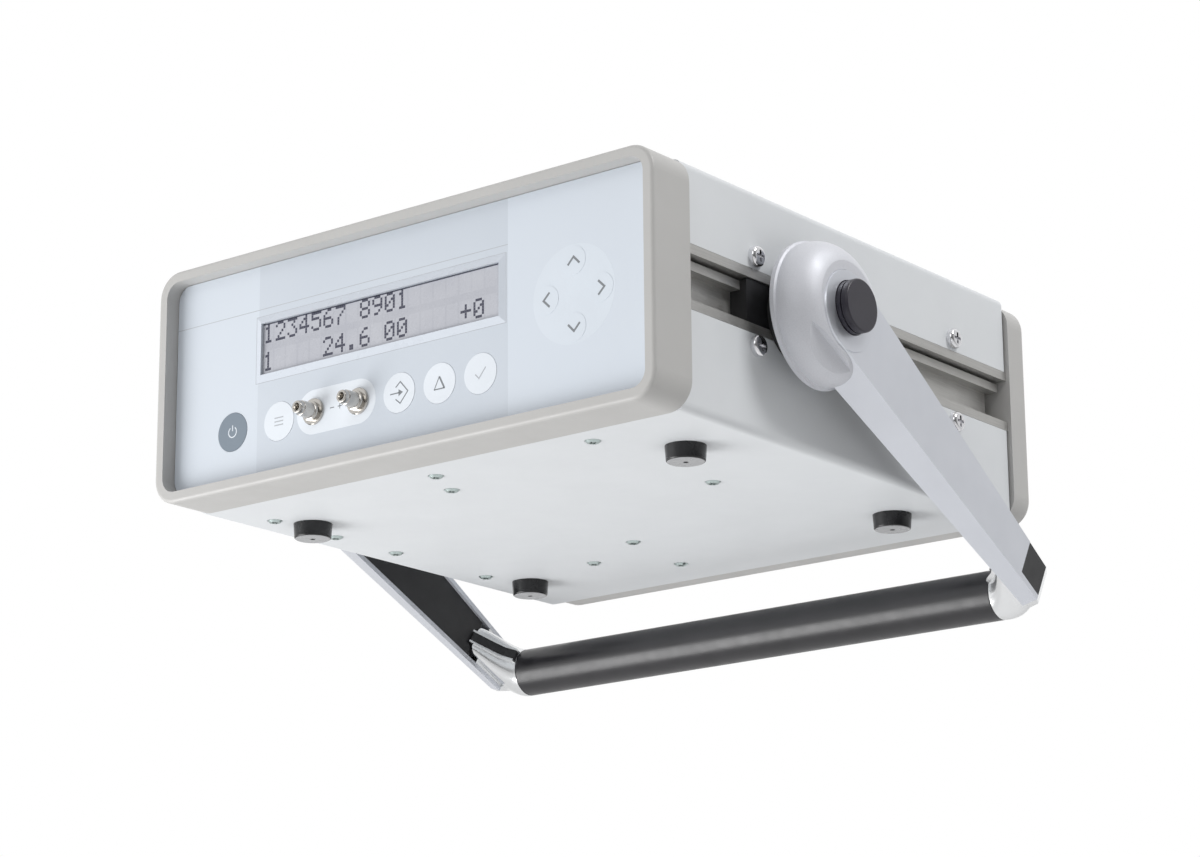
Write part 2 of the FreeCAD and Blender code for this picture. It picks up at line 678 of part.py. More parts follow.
def groove_block():
    """Block clamped in the rail's groove, which carries the pivot bolt."""
    half = GROOVE_HALF - 0.1
    middle = RAIL_MID_Z - PIVOT_Z
    block = box(GROOVE_FLOOR + 0.1, COVER_HALF_W - 0.6, BLOCK_START - PIVOT_Y,
                BLOCK_END - PIVOT_Y, middle - half, middle + half)
    upright = [e for e in block.Edges if e.BoundBox.XLength > 5]
    block = block.makeFillet(1.5, upright)
    return block.cut(rod(BOLT_R, V(106, 0, 0), X_AXIS, 20))


def detent_ring():
    """Fixed ring with radial notches that set the handle's stops."""
    top = HUB_FLOOR - 0.4
    ring = rod(DETENT_R, V(COVER_HALF_W + 0.3, 0, 0), X_AXIS, top - COVER_HALF_W - 0.3)
    pad = rod(6.0, V(COVER_HALF_W - 0.6, 0, 0), X_AXIS, 1.0)
    ring = ring.fuse(pad).cut(rod(BOLT_R, V(100, 0, 0), X_AXIS, 30))
    notches = []
    for i in range(24):
        notch = box(top - 1.2, top + 3, DETENT_R - 5.0, DETENT_R + 1, -1.0, 1.0)
        notch.rotate(V(0, 0, 0), X_AXIS, 15.0 * i)
        notches.append(notch)
    return cut_all(ring, notches)


def at_pivot(shape):
    """Move a fixed piece from the pivot's own coordinates to the case."""
    moved = shape.copy()
    moved.translate(V(0, PIVOT_Y, PIVOT_Z))
    return moved


# ---------------------------------------------------------------- inside

BOARD_Z = COVER_GAP_Z + COVER_T + STANDOFF_H


def board(points, x0, x1, y0, y1):
    plate = box(x0, x1, y0, y1, BOARD_Z, BOARD_Z + BOARD_T)
    holes = [rod(1.2, V(x, y, BOARD_Z - 1), Z_AXIS, 5) for x, y in points]
    return cut_all(plate, holes)


def main_board():
    plate = board(MAIN_POINTS, -104, -2, 30, 122)
    top = BOARD_Z + BOARD_T - 0.05
    parts = [box(-70, -46, 60, 84, top, top + 3.5), box(-34, -22, 70, 92, top, top + 2.5)]
    parts.append(box(-92, -84, 92, 112, top, top + 9))
    for i in range(5):
        parts.append(rod(3.2, V(-74 + 11 * i, 112, top), Z_AXIS, 11))
    parts.append(box(-74, -40, 38, 44, top, top + 8))
    return plate.fuse(parts)


def power_supply_board():
    plate = board(SUPPLY_POINTS, -104, -10, 150, 212)
    top = BOARD_Z + BOARD_T - 0.05
    parts = [rod(9.0, V(-86, 190, top), Z_AXIS, 26), box(-34, -14, 174, 198, top, top + 14)]
    for x in (-62, -50):
        parts.append(rod(5.0, V(x, 160, top), Z_AXIS, 16))
    parts.append(box(-100, -72, 156, 160, top, top + 22))
    return plate.fuse(parts)


def transformer():
    """Laminated core with its winding, bolted down beside the supply board."""
    base = COVER_GAP_Z + COVER_T
    core = box(26, 60, 150, 206, base, base + 46)
    coil = box(12, 74, 162, 194, base + 10, base + 36)
    coil = coil.makeFillet(3.0, [e for e in coil.Edges if e.BoundBox.ZLength > 5])
    return core.fuse(coil)


def pressure_sensor():
    """Differential capsule on its plate, with two hose stubs facing the front."""
    plate = board(SENSOR_POINTS, 40, 92, 27, 112)
    top = BOARD_Z + BOARD_T - 0.05
    capsule = rod(19.0, V(66, 72, top + 12), Z_AXIS, 16)
    neck = rod(11.0, V(66, 72, top), Z_AXIS, 12.5)
    stubs = []
    for x in (58, 74):
        stubs.append(rod(2.0, V(x, 60, top + 20), V(0, -1, 0), 14))
    return plate.fuse([neck, capsule] + stubs)


def zero_valve():
    """Solenoid valve block that joins both sides of the sensor for zeroing."""
    base = BOARD_Z + BOARD_T
    block = box(8, 36, 60, 96, base + 2, base + 22)
    coil = rod(9.0, V(22, 96, base + 12), Y_AXIS, 24)
    leg = box(8, 36, 74, 82, COVER_GAP_Z + COVER_T, base + 2)
    stubs = []
    for x in (14, 30):
        stubs.append(rod(2.0, V(x, 60.5, base + 12), V(0, -1, 0), 8.5))
    return block.fuse([coil, leg] + stubs)


def tube_path(points, radius):
    """Straight runs through points, with a tangent arc of the given radius at each bend."""
    edges = []
    start = points[0]
    for i in range(1, len(points) - 1):
        corner = points[i]
        into = (corner - points[i - 1]).normalize()
        out = (points[i + 1] - corner).normalize()
        turn = into.getAngle(out)
        back = radius * math.tan(turn / 2)
        a = corner - into * back
        b = corner + out * back
        middle = corner + (out - into).normalize() * (radius / math.cos(turn / 2) - radius)
        edges.append(Part.LineSegment(start, a).toShape())
        edges.append(Part.Arc(a, middle, b).toShape())
        start = b
    edges.append(Part.LineSegment(start, points[-1]).toShape())
    return Part.Wire(edges)


def tube(points, radius, outer):
    path = tube_path(points, radius)
    along = (points[1] - points[0]).normalize()
    ring = Part.Wire([Part.Circle(points[0], along, outer).toShape()])
    return path.makePipeShell([ring], True, False)


def inner_hoses():
    """Two silicone hoses from the ports to the valve block."""
    base = BOARD_Z + BOARD_T
    solids = []
    port_end = PANEL_RECESS + 16.4
    for x, target, rise in ((PORT_X[0], 14.0, 5.0), (PORT_X[1], 30.0, 0.0)):
        z = base + 12
        points = [V(x, port_end, PORT_Z), V(x, port_end + 11 + rise, PORT_Z),
                  V(target, port_end + 11 + rise, z), V(target, 52.0, z)]
        solids.append(tube(points, 6.0, 1.9))
    return group(solids)


# ---------------------------------------------------------------- rear


def rear_panel():
    y0, y1 = CASE_DEPTH - 6.5, CASE_DEPTH - 4.5
    plate = rounded(-110.8, 110.8, 4.7, CASE_H - 4.7, 5.8, y0, y1)
    cuts = [box(-88.5, -59.5, 200, 260, 34, 57.5), box(30, 48, 200, 260, 41, 51)]
    for x in (24, 54):
        cuts.append(rod(1.6, V(x, 200, 46), Y_AXIS, 60))
    for x, z in REAR_SCREWS:
        cuts.append(rod(1.6, V(x, 200, z), Y_AXIS, 60))
    cuts.append(rod(2.1, V(-40, 200, 46), Y_AXIS, 60))
    return cut_all(plate, cuts)


def mains_inlet():
    """Three-pin appliance inlet with its rectangular flange."""
    back = CASE_DEPTH - 4.5
    flange = rounded(-92, -56, 31, 60.5, 3.0, back, back + 2.5)
    body = box(-88, -60, back - 24, back + 0.5, 34.5, 57)
    pocket = rounded(-86, -62, 37, 54.5, 3.0, back - 15, back + 5)
    pins = []
    for x, z in ((-81, 44), (-67, 44), (-74, 48)):
        pins.append(box(x - 1.0, x + 1.0, back - 18, back - 2, z - 2.0, z + 2.0))
    return flange.fuse(body).cut(pocket).fuse(pins)


def serial_connector():
    """Nine-way socket for a computer lead, with its two jack screws."""
    back = CASE_DEPTH - 4.5
    flange = box(24 - 4, 54 + 4, back - 3.2, back - 2.05, 40, 52)
    shell = rounded(30.4, 47.6, 41.5, 50.5, 2.0, back - 9, back + 4.0)
    cavity = rounded(31.0, 47.0, 42.1, 49.9, 1.6, back + 0.5, back + 5)
    holes = []
    for i in range(5):
        holes.append(rod(0.5, V(33.4 + 2.8 * i, back - 2, 47.2), Y_AXIS, 4))
    for i in range(4):
        holes.append(rod(0.5, V(34.8 + 2.8 * i, back - 2, 44.6), Y_AXIS, 4))
    jacks = []
    for x in (24, 54):
        jacks.append(hexagon(5.0, V(x, back, 46), Y_AXIS, 3.6))
        jacks.append(rod(1.5, V(x, back - 3.3, 46), Y_AXIS, 3.5))
    return cut_all(flange.fuse([shell] + jacks), [cavity] + holes)


def earth_terminal():
    """Brass screw post with a knurled nut for the measuring earth."""
    back = CASE_DEPTH - 4.5
    stud = rod(2.0, V(-40, back - 7, 46), Y_AXIS, 11.2)
    nut = hexagon(7.0, V(-40, back, 46), Y_AXIS, 2.6)
    inner = hexagon(7.0, V(-40, back - 4.6, 46), Y_AXIS, 2.5)
    return stud.fuse([nut, inner])


def rear_screws():
    solids = []
    back = CASE_DEPTH - 4.5
    for x, z in REAR_SCREWS:
        head = rod(2.75, V(x, back, z), Y_AXIS, 2.0)
        rim = [e for e in head.Edges if e.BoundBox.YMin > back + 1.9]
        head = head.makeFillet(0.9, rim)
        shank = rod(M3_R, V(x, back - 7, z), Y_AXIS, 7.1)
        cross = cross_recess(V(x, back + 2.0, z), Y_AXIS, 3.2, 1.2)
        solids.append(head.fuse(shank).cut(cross))
    return group(solids)


# ---------------------------------------------------------------- all nodes


def both_sides(shape):
    return group([mirrored(shape), shape])


def build():
    nodes = {
        "front_frame": front_frame(),
        "rear_frame": rear_frame(),
        "top_cover": top_cover(),
        "bottom_cover": bottom_cover(),
        "side_rail_left": side_rail(-1),
        "side_rail_right": side_rail(1),
        "rubber_feet": feet(),
        "foot_screws": foot_screws(),
        "side_screws": side_screws(),
        "bottom_screws": bottom_screws(),
        "board_standoffs": standoffs(),
        "front_membrane": front_membrane(),
        "front_panel": front_panel(),
        "display_bezel": display_bezel(),
        "display_glass": display_glass(),
        "display_module": display_module(),
        "keypad_board": keypad_board(),
        "hose_port_left": hose_port(PORT_X[0]),
        "hose_port_right": hose_port(PORT_X[1]),
        "port_nuts": port_nuts(),
        "main_board": main_board(),
        "power_supply_board": power_supply_board(),
        "transformer": transformer(),
        "pressure_sensor": pressure_sensor(),
        "zero_valve": zero_valve(),
        "inner_hoses": inner_hoses(),
        "rear_panel": rear_panel(),
        "mains_inlet": mains_inlet(),
        "serial_connector": serial_connector(),
        "earth_terminal": earth_terminal(),
        "rear_screws": rear_screws(),
    }
    for name in KEYS:
        nodes[name] = key(name)
    fixed = {
        "groove_block": groove_block(),
        "pivot_bolt": pivot_bolt(),
        "detent_ring": detent_ring(),
    }
    for name, shape in fixed.items():
        nodes[name + "_right"] = at_pivot(shape)
        nodes[name + "_left"] = at_pivot(mirrored(shape))
    swinging = {
        "handle_arm": handle_arm(),
        "handle_hub": hub(),
        "grip_corner": grip_corner(),
        "release_button": release_button(),
        "release_spring": release_spring(),
    }
    for name, shape in swinging.items():
        nodes[name + "_right"] = place_handle(shape)
        nodes[name + "_left"] = place_handle(mirrored(shape))
    nodes["handle_grip"] = place_handle(handle_grip())
    nodes["arm_inserts"] = place_handle(both_sides(arm_insert()))
    nodes["corner_caps"] = place_handle(both_sides(corner_cap()))
    nodes["corner_strips"] = place_handle(both_sides(corner_strip()))
    return nodes


def main():
    os.makedirs("parts", exist_ok=True)
    nodes = build()
    whole = group(list(nodes.values())).optimalBoundingBox(True, False)
    shift = V(0, -(whole.YMin + whole.YMax) / 2, -whole.ZMin)
    print("shift", round(shift.y, 3), round(shift.z, 3), "nodes", len(nodes))
    for name, shape in nodes.items():
        moved = shape.copy()
        moved.translate(shift)
        moved.exportStep(f"parts/{name}.step")


main()
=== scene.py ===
"""Looks of the bench pressure instrument.

Materials, printed front, display, nipples, screws and studio.
"""

import math

import bmesh
import bpy
from mathutils import Matrix, Vector


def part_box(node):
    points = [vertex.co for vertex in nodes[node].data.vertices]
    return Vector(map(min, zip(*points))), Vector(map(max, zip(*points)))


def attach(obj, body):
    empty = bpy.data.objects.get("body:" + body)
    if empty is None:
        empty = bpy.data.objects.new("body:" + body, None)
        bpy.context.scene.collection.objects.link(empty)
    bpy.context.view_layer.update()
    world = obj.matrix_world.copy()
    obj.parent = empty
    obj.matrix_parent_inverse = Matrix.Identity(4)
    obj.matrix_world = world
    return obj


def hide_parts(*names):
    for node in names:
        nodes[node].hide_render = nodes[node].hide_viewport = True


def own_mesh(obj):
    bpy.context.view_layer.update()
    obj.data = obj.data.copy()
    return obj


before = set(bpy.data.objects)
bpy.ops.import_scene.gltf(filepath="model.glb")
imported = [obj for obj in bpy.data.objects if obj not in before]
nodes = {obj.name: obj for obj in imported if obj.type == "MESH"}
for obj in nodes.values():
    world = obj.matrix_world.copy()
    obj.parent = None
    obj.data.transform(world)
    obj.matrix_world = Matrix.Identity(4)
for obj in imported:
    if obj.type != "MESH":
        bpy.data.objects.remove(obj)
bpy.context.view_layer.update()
MM = 0.001

# The case's front and lower edges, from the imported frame
case_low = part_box("front_frame")[0]

# Camera: what it looks at, from how far, and from where
VIEW_TARGET = Vector((-0.00147, 0.0022, 0.07545))
VIEW_DISTANCE = 1.2754
VIEW_AZIMUTH = 38.211
VIEW_ELEVATION = -15.453
VIEW_ROLL = -0.464
VIEW_LENS = 99.88

# Studio
FLOOR_Z = -1.4
FLOOR_SIZE = 20.0
BRIGHT_SIDE = (-0.85, 0.40, 0.33)
DARK_LEVEL = 0.15
KEY_POWER = 15.0
FRONT_POWER = 3.5
LOW_POWER = 8.8

# Front panel, in millimetres from the middle of the case's lower front edge
FILM_Y = 6.2
KEY_Y = 6.1
COLUMN_X = (-71.1, 49.2)
LINE_Z = 69.0
PANEL_LEFT = -113.4
PORT_X = (-42.6, -20.8)
PORT_Z = 24.6
KEY_ROW_Z = 24.2
PAD = (78.7, 44.8)
PAD_REACH = 12.0
PILL_R = 8.4
PAD_DISC_R = 18.0
INK = 0.03
SINK = 0.005
HAIRLINE = 0.18
# Width of the painted shadow lines inside the display window
SHADOW_LINE_W = 0.45
THIN, MEDIUM, BOLD = 0.35, 0.45, 0.8

# Middles of the round keys along X
POWER_X, MENU_X, ENTER_X, RANGE_X, TEST_X = -83.6, -60.0, -1.2, 17.8, 36.7

# Lower face of the rubber feet, and how far up its grey reaches
FOOT_BOTTOM = -5.6
GREY_RISE = 0.12

# Nipples: (distance out of the film, radius) of the thread, flange, shank and tip
NIPPLE_SIDES = 96
KNURL_DEPTH = 0.07
KNURLED = (2.9, 7.3)
NIPPLE_BACK = [(-16.2, 0.95), (-16.2, 2.0), (-9.4, 2.0), (-9.4, 2.45), (0.0, 2.45), (0.0, 5.0),
               (0.7, 5.0), (1.0, 4.7), (1.05, 3.7), (2.4, 3.65), (2.6, 3.1)]
NIPPLE_TIP = [(7.45, 2.5), (8.8, 2.42), (9.15, 2.25), (9.28, 1.95), (9.28, 1.5), (8.1, 0.95),
              (-16.2, 0.95)]

# Springs under the release buttons: pivot line (y, z), ends along X, mean radius, wire radius
PIVOT = (85.3, 46.6)
SPRING_X = (131.15, 141.75)
SPRING_R = 5.4
SPRING_WIRE = 0.42
SPRING_TURNS = 5
SPRING_RUNS = 24
SPRING_SIDES = 8

# Display, two lines of 20 characters of 5 by 7 dots
WINDOW_X = (-69.3, 45.5)
WINDOW_Z = (43.4, 63.3)
BEZEL_W = 2.8
GLASS_Y = 6.7
CHARACTER_PITCH = 6.0
DOT_PITCH = (0.98, 1.04)
DOT_SIZE = (0.93, 0.98)
DOT_RISE = 0.02
TEXT_X = -69.0
ROW_BOTTOMS = (55.6, 44.9)
ROW_TEXTS = ("1234567 8901", "1    24.6 00    +0")

GLYPHS = {
    "0": ("01110", "10001", "10011", "10101", "11001", "10001", "01110"),
    "1": ("00100", "01100", "00100", "00100", "00100", "00100", "01110"),
    "2": ("01110", "10001", "00001", "00010", "00100", "01000", "11111"),
    "3": ("11111", "00010", "00100", "00010", "00001", "10001", "01110"),
    "4": ("00010", "00110", "01010", "10010", "11111", "00010", "00010"),
    "5": ("11111", "10000", "11110", "00001", "00001", "10001", "01110"),
    "6": ("00110", "01000", "10000", "11110", "10001", "10001", "01110"),
    "7": ("11111", "00001", "00010", "00100", "01000", "01000", "01000"),
    "8": ("01110", "10001", "10001", "01110", "10001", "10001", "01110"),
    "9": ("01110", "10001", "10001", "01111", "00001", "00010", "01100"),
    ".": ("00000", "00000", "00000", "00000", "00000", "01100", "01100"),
    "+": ("00000", "00100", "00100", "11111", "00100", "00100", "00000"),
}


def at(x, y, z):
    """Point in metres from millimetres measured at the middle of the case's lower front edge."""
    return Vector((x * MM, case_low.y + y * MM, case_low.z + z * MM))


# ---------------------------------------------------------------- materials


class Shader:
    """One material: a Principled shader and the nodes that feed it."""

    def __init__(self, name, **settings):
        self.material = bpy.data.materials.new(name)
        self.material.use_nodes = True
        self.tree = self.material.node_tree
        self.surface = self.tree.nodes["Principled BSDF"]
        for socket, value in settings.items():
            self.surface.inputs[socket.replace("_", " ")].default_value = value
        self.place = self.tree.nodes.new("ShaderNodeTexCoord").outputs["Object"]
        self.normal = None

    def node(self, kind, inputs=(), **settings):
        made = self.tree.nodes.new(kind)
        for name, value in settings.items():
            setattr(made, name, value)
        for socket, value in dict(inputs).items():
            if isinstance(value, bpy.types.NodeSocket):
                self.tree.links.new(value, made.inputs[socket])
            else:
                made.inputs[socket].default_value = value
        return made

    def stretched(self, stretch):
        """Object coordinates scaled along each axis."""
        return self.node("ShaderNodeMapping", {"Vector": self.place, "Scale": stretch}).outputs[0]

    def noise(self, size_mm, detail=2.0, stretch=(1, 1, 1), rough=0.5):
        """Noise whose grains are about size_mm across."""
        inputs = {"Vector": self.stretched(stretch), "Scale": 1 / (size_mm * MM),
                  "Detail": detail, "Roughness": rough}
        return self.node("ShaderNodeTexNoise", inputs).outputs["Fac"]

    def cells(self, size_mm, stretch=(1, 1, 1)):
        """Distance from the middle of irregular cells about size_mm across."""
        inputs = {"Vector": self.stretched(stretch), "Scale": 1 / (size_mm * MM)}
        return self.node("ShaderNodeTexVoronoi", inputs).outputs["Distance"]

    def math(self, operation, a, b=0.0, c=0.0):
        return self.node("ShaderNodeMath", {0: a, 1: b, 2: c}, operation=operation).outputs[0]

    def spread(self, value, low, high, start=0.3, end=0.7):
        """Map a noise from start..end to low..high."""
        inputs = {"Value": value, "From Min": start, "From Max": end, "To Min": low, "To Max": high}
        return self.node("ShaderNodeMapRange", inputs).outputs[0]

    def mix(self, share, a, b):
        """Colour a turning into colour b."""
        inputs = {0: share, 6: full(a), 7: full(b)}
        return self.node("ShaderNodeMix", inputs, data_type="RGBA").outputs[2]

    def colour(self, value):
        self.tree.links.new(value, self.surface.inputs["Base Color"])

    def roughness(self, value):
        self.tree.links.new(value, self.surface.inputs["Roughness"])

    def bump(self, height, depth_mm, strength=1.0):
        """Add relief of depth_mm to the surface."""
        inputs = {"Height": height, "Strength": strength, "Distance": depth_mm * MM}
        if self.normal:
            inputs["Normal"] = self.normal
        self.normal = self.node("ShaderNodeBump", inputs).outputs[0]
        self.tree.links.new(self.normal, self.surface.inputs["Normal"])

    def axis(self, index):
        """One of the object coordinates, in metres."""
        return self.node("ShaderNodeSeparateXYZ", {"Vector": self.place}).outputs[index]

    def between(self, value, low, high):
        """1 where value lies between low and high."""
        above = self.math("GREATER_THAN", value, low)
        return self.math("MULTIPLY", above, self.math("LESS_THAN", value, high))


def full(colour):
    """Colour with its alpha, or a socket as it is."""
    return (*colour, 1.0) if isinstance(colour, tuple) and len(colour) == 3 else colour


def shade(colour, factor):
    return tuple(min(1.0, c * factor) for c in colour)


def coated(name, colour, roughness, grain_mm, grain_depth, vary=0.03, metallic=0.0, **settings):
    """Painted, moulded or blasted surface: soft colour drift, uneven sheen and a fine grain."""
    s = Shader(name, Metallic=metallic, **settings)
    drift = s.noise(24.0, 3.0)
    fine = s.noise(grain_mm, 3.0)
    tone = s.mix(s.spread(drift, 0.0, 1.0), shade(colour, 1 - vary), shade(colour, 1 + vary))
    speck = s.spread(fine, 0.0, 0.25, 0.5, 0.75)
    s.colour(s.mix(speck, tone, shade(colour, 1 - 3 * vary)))
    s.roughness(s.spread(s.noise(9.0, 4.0), roughness - 0.05, roughness + 0.06))
    s.bump(fine, grain_depth)
    return s


def brushed(name, colour, roughness, along, metallic=1.0):
    """Metal with fine scratches that run along one axis, 0 to 2."""
    s = Shader(name, Metallic=metallic)
    stretch = [1.0, 1.0, 1.0]
    stretch[along] = 0.02
    lines = s.noise(0.25, 4.0, tuple(stretch), 0.6)
    tone = s.mix(s.spread(lines, 0.0, 1.0), shade(colour, 0.9), shade(colour, 1.08))
    s.colour(tone)
    s.roughness(s.spread(s.noise(6.0, 3.0), roughness - 0.05, roughness + 0.07))
    s.bump(lines, 0.012)
    return s


def frame_paint():
    s = coated("frame_paint", (0.46, 0.455, 0.445), 0.42, 0.35, 0.014, 0.02)
    s.bump(s.noise(1.6, 1.0), 0.01)
    return s.material


def cover_paint():
    s = coated("cover_paint", (0.66, 0.68, 0.70), 0.5, 0.3, 0.02, 0.015)
    s.bump(s.noise(0.9, 1.0), 0.012)
    return s.material


def rail_metal():
    return brushed("rail_metal", (0.50, 0.495, 0.48), 0.42, 1, 0.85).material


def membrane_film():
    """Printed polyester film: a darker middle column and a thin line under the top margin."""
    s = Shader("membrane_film", Coat_Weight=0.15, Coat_Roughness=0.3)
    x = s.axis(0)
    column = s.between(x, COLUMN_X[0] * MM, COLUMN_X[1] * MM)
    pale = s.mix(column, (0.60, 0.65, 0.715), (0.53, 0.575, 0.635))
    drift = s.spread(s.noise(60.0, 2.0), 0.0, 0.35)
    s.colour(s.mix(drift, pale, (0.60, 0.64, 0.69)))
    s.roughness(s.spread(s.noise(0.5, 3.0), 0.38, 0.5))
    s.bump(s.cells(0.22), 0.006)
    return s.material


def ink(name, colour):
    """Screen-printed ink: even, with the film's fine tooth."""
    s = coated(name, colour, 0.5, 0.22, 0.004, 0.02)
    return s.material


def display_face():
    """Grey liquid-crystal cell with a faint lighter block at each character."""
    s = Shader("display_face", Coat_Weight=0.35, Coat_Roughness=0.08)
    x = s.math("DIVIDE", s.math("SUBTRACT", s.axis(0), (TEXT_X - 0.5) * MM), CHARACTER_PITCH * MM)
    in_cell = s.math("LESS_THAN", s.math("FRACT", x), 0.86)
    z = s.axis(2)
    rows = None
    for bottom in ROW_BOTTOMS:
        low = at(0, 0, bottom - 0.3).z
        row = s.between(z, low, low + 8.0 * MM)
        rows = row if rows is None else s.math("ADD", rows, row)
    block = s.math("MULTIPLY", in_cell, rows)
    drift = s.spread(s.noise(18.0, 2.0), 0.0, 1.0)
    ground = s.mix(drift, (0.375, 0.385, 0.43), (0.425, 0.435, 0.475))
    lighter = s.mix(drift, (0.40, 0.41, 0.455), (0.45, 0.46, 0.50))
    s.colour(s.mix(block, ground, lighter))
    s.roughness(s.spread(s.noise(3.0, 3.0), 0.22, 0.32))
    s.bump(s.noise(0.15, 1.0), 0.002)
    return s.material


def rubber():
    """Black moulded rubber whose lower face is a mottled grey."""
    s = coated("rubber", (0.008, 0.008, 0.009), 0.26, 0.5, 0.012, 0.1, Specular_IOR_Level=0.5)
    lower_face = s.math("LESS_THAN", s.axis(2), at(0, 0, FOOT_BOTTOM + GREY_RISE).z)
    grey_mottle = s.spread(s.noise(1.4, 4.0), 0.75, 1.0)
    grey = s.mix(grey_mottle, (0.16, 0.16, 0.165), (0.36, 0.365, 0.375))
    s.colour(s.mix(lower_face, (0.008, 0.008, 0.009), grey))
    return s.material


def chrome(name="chrome", colour=(0.80, 0.80, 0.82), roughness=0.09):
    s = Shader(name, Metallic=1.0)
    fine = s.noise(0.4, 3.0)
    s.colour(s.mix(s.spread(fine, 0.0, 1.0), shade(colour, 0.93), shade(colour, 1.04)))
    s.roughness(s.spread(s.noise(1.2, 3.0), roughness - 0.05, roughness + 0.08))
    s.bump(fine, 0.004)
    return s.material


def hub_paint():
    """Silver metallic paint with fine flakes."""
    s = Shader("hub_paint", Metallic=0.3)
    flakes = s.cells(0.16)
    tone = s.mix(s.spread(flakes, 0.0, 1.0, 0.2, 0.8), (0.66, 0.67, 0.71), (0.56, 0.57, 0.61))
    s.colour(tone)
    s.roughness(s.spread(s.noise(7.0, 3.0), 0.5, 0.6))
    s.bump(flakes, 0.006)
    s.bump(s.noise(1.4, 1.0), 0.008)
    return s.material


def arm_metal():
    """Blasted and anodised aluminium."""
    s = coated("arm_metal", (0.66, 0.68, 0.73), 0.36, 0.16, 0.008, 0.02, metallic=0.8)
    return s.material


def corner_metal():
    s = coated("corner_metal", (0.80, 0.81, 0.82), 0.2, 0.6, 0.006, 0.02, metallic=0.95)
    s.bump(s.noise(2.5, 1.0), 0.02)
    return s.material


def grip_skin():
    """Black sleeve with a very fine grain and faint lighter blotches."""
    s = Shader("grip_skin", Specular_IOR_Level=0.6)
    fine = s.noise(0.3, 3.0)
    blotch = s.spread(s.noise(14.0, 4.0), 0.0, 1.0)
    s.colour(s.mix(blotch, (0.010, 0.010, 0.012), (0.016, 0.015, 0.018)))
    s.roughness(s.spread(s.noise(5.0, 4.0), 0.28, 0.38))
    s.bump(fine, 0.012)
    s.bump(s.noise(3.0, 2.0, (0.1, 1, 1)), 0.01)
    return s.material


def button_skin():
    return coated("button_skin", (0.02, 0.018, 0.028), 0.36, 0.4, 0.012, 0.08).material


def black_nylon():
    return coated("black_nylon", (0.016, 0.016, 0.018), 0.48, 0.25, 0.02, 0.08).material


def circuit_board():
    """Green solder mask with paler tracks under it."""
    s = Shader("circuit_board", Coat_Weight=0.4, Coat_Roughness=0.15)
    tracks = s.node("ShaderNodeTexBrick", {"Vector": s.place, "Scale": 90.0, "Mortar Size": 0.03})
    lines = s.spread(tracks.outputs["Fac"], 0.0, 1.0, 0.2, 0.8)
    s.colour(s.mix(lines, (0.012, 0.10, 0.035), (0.03, 0.20, 0.07)))
    s.roughness(s.spread(s.noise(2.0, 3.0), 0.3, 0.42))
    s.bump(lines, 0.03)
    return s.material


def laminations():
    """Stacked and varnished transformer sheets."""
    s = Shader("laminations", Metallic=0.7)
    bands = s.node("ShaderNodeTexWave", {"Vector": s.place, "Scale": 320.0, "Distortion": 0.4})
    edge = bands.outputs["Fac"]
    s.colour(s.mix(edge, (0.07, 0.06, 0.055), (0.17, 0.15, 0.13)))
    s.roughness(s.spread(s.noise(2.0, 3.0), 0.4, 0.55))
    s.bump(edge, 0.06)
    return s.material


def silicone():
    s = coated("silicone", (0.62, 0.62, 0.58), 0.35, 0.8, 0.01, 0.03, Transmission_Weight=0.25)
    return s.material


def brass():
    return chrome("brass", (0.70, 0.58, 0.32), 0.26)


def nickel():
    return chrome("nickel", (0.54, 0.52, 0.49), 0.16)


def zinc():
    return chrome("zinc", (0.50, 0.58, 0.57), 0.3)


MATERIALS = {
    "frame_paint": frame_paint(),
    "cover_paint": cover_paint(),
    "rail_metal": rail_metal(),
    "membrane_film": membrane_film(),
    "panel_metal": brushed("panel_metal", (0.62, 0.62, 0.63), 0.38, 0).material,
    "bezel": coated("bezel", (0.56, 0.60, 0.66), 0.3, 0.3, 0.006, 0.015).material,
    "display_face": display_face(),
    # Dark dot colour, also used for the painted shadow lines inside the display window
    "display_dots": ink("display_dots", (0.045, 0.047, 0.075)),
    "white_ink": ink("white_ink", (0.70, 0.74, 0.79)),
    "power_ink": ink("power_ink", (0.185, 0.225, 0.27)),
    "pad_ink": ink("pad_ink", (0.63, 0.68, 0.74)),
    "grey_ink": ink("grey_ink", (0.20, 0.215, 0.23)),
    "pale_ink": ink("pale_ink", (0.42, 0.44, 0.47)),
    "rubber": rubber(),
    "chrome": chrome(),
    "zinc": zinc(),
    "nickel": nickel(),
    "brass": brass(),
    "hub_paint": hub_paint(),
    "arm_metal": arm_metal(),
    "corner_metal": corner_metal(),
    "grip_skin": grip_skin(),
    "button_skin": button_skin(),
    "black_nylon": black_nylon(),
    "steel": brushed("steel", (0.42, 0.42, 0.43), 0.35, 0).material,
    "circuit_board": circuit_board(),
    "laminations": laminations(),
    "silicone": silicone(),
}

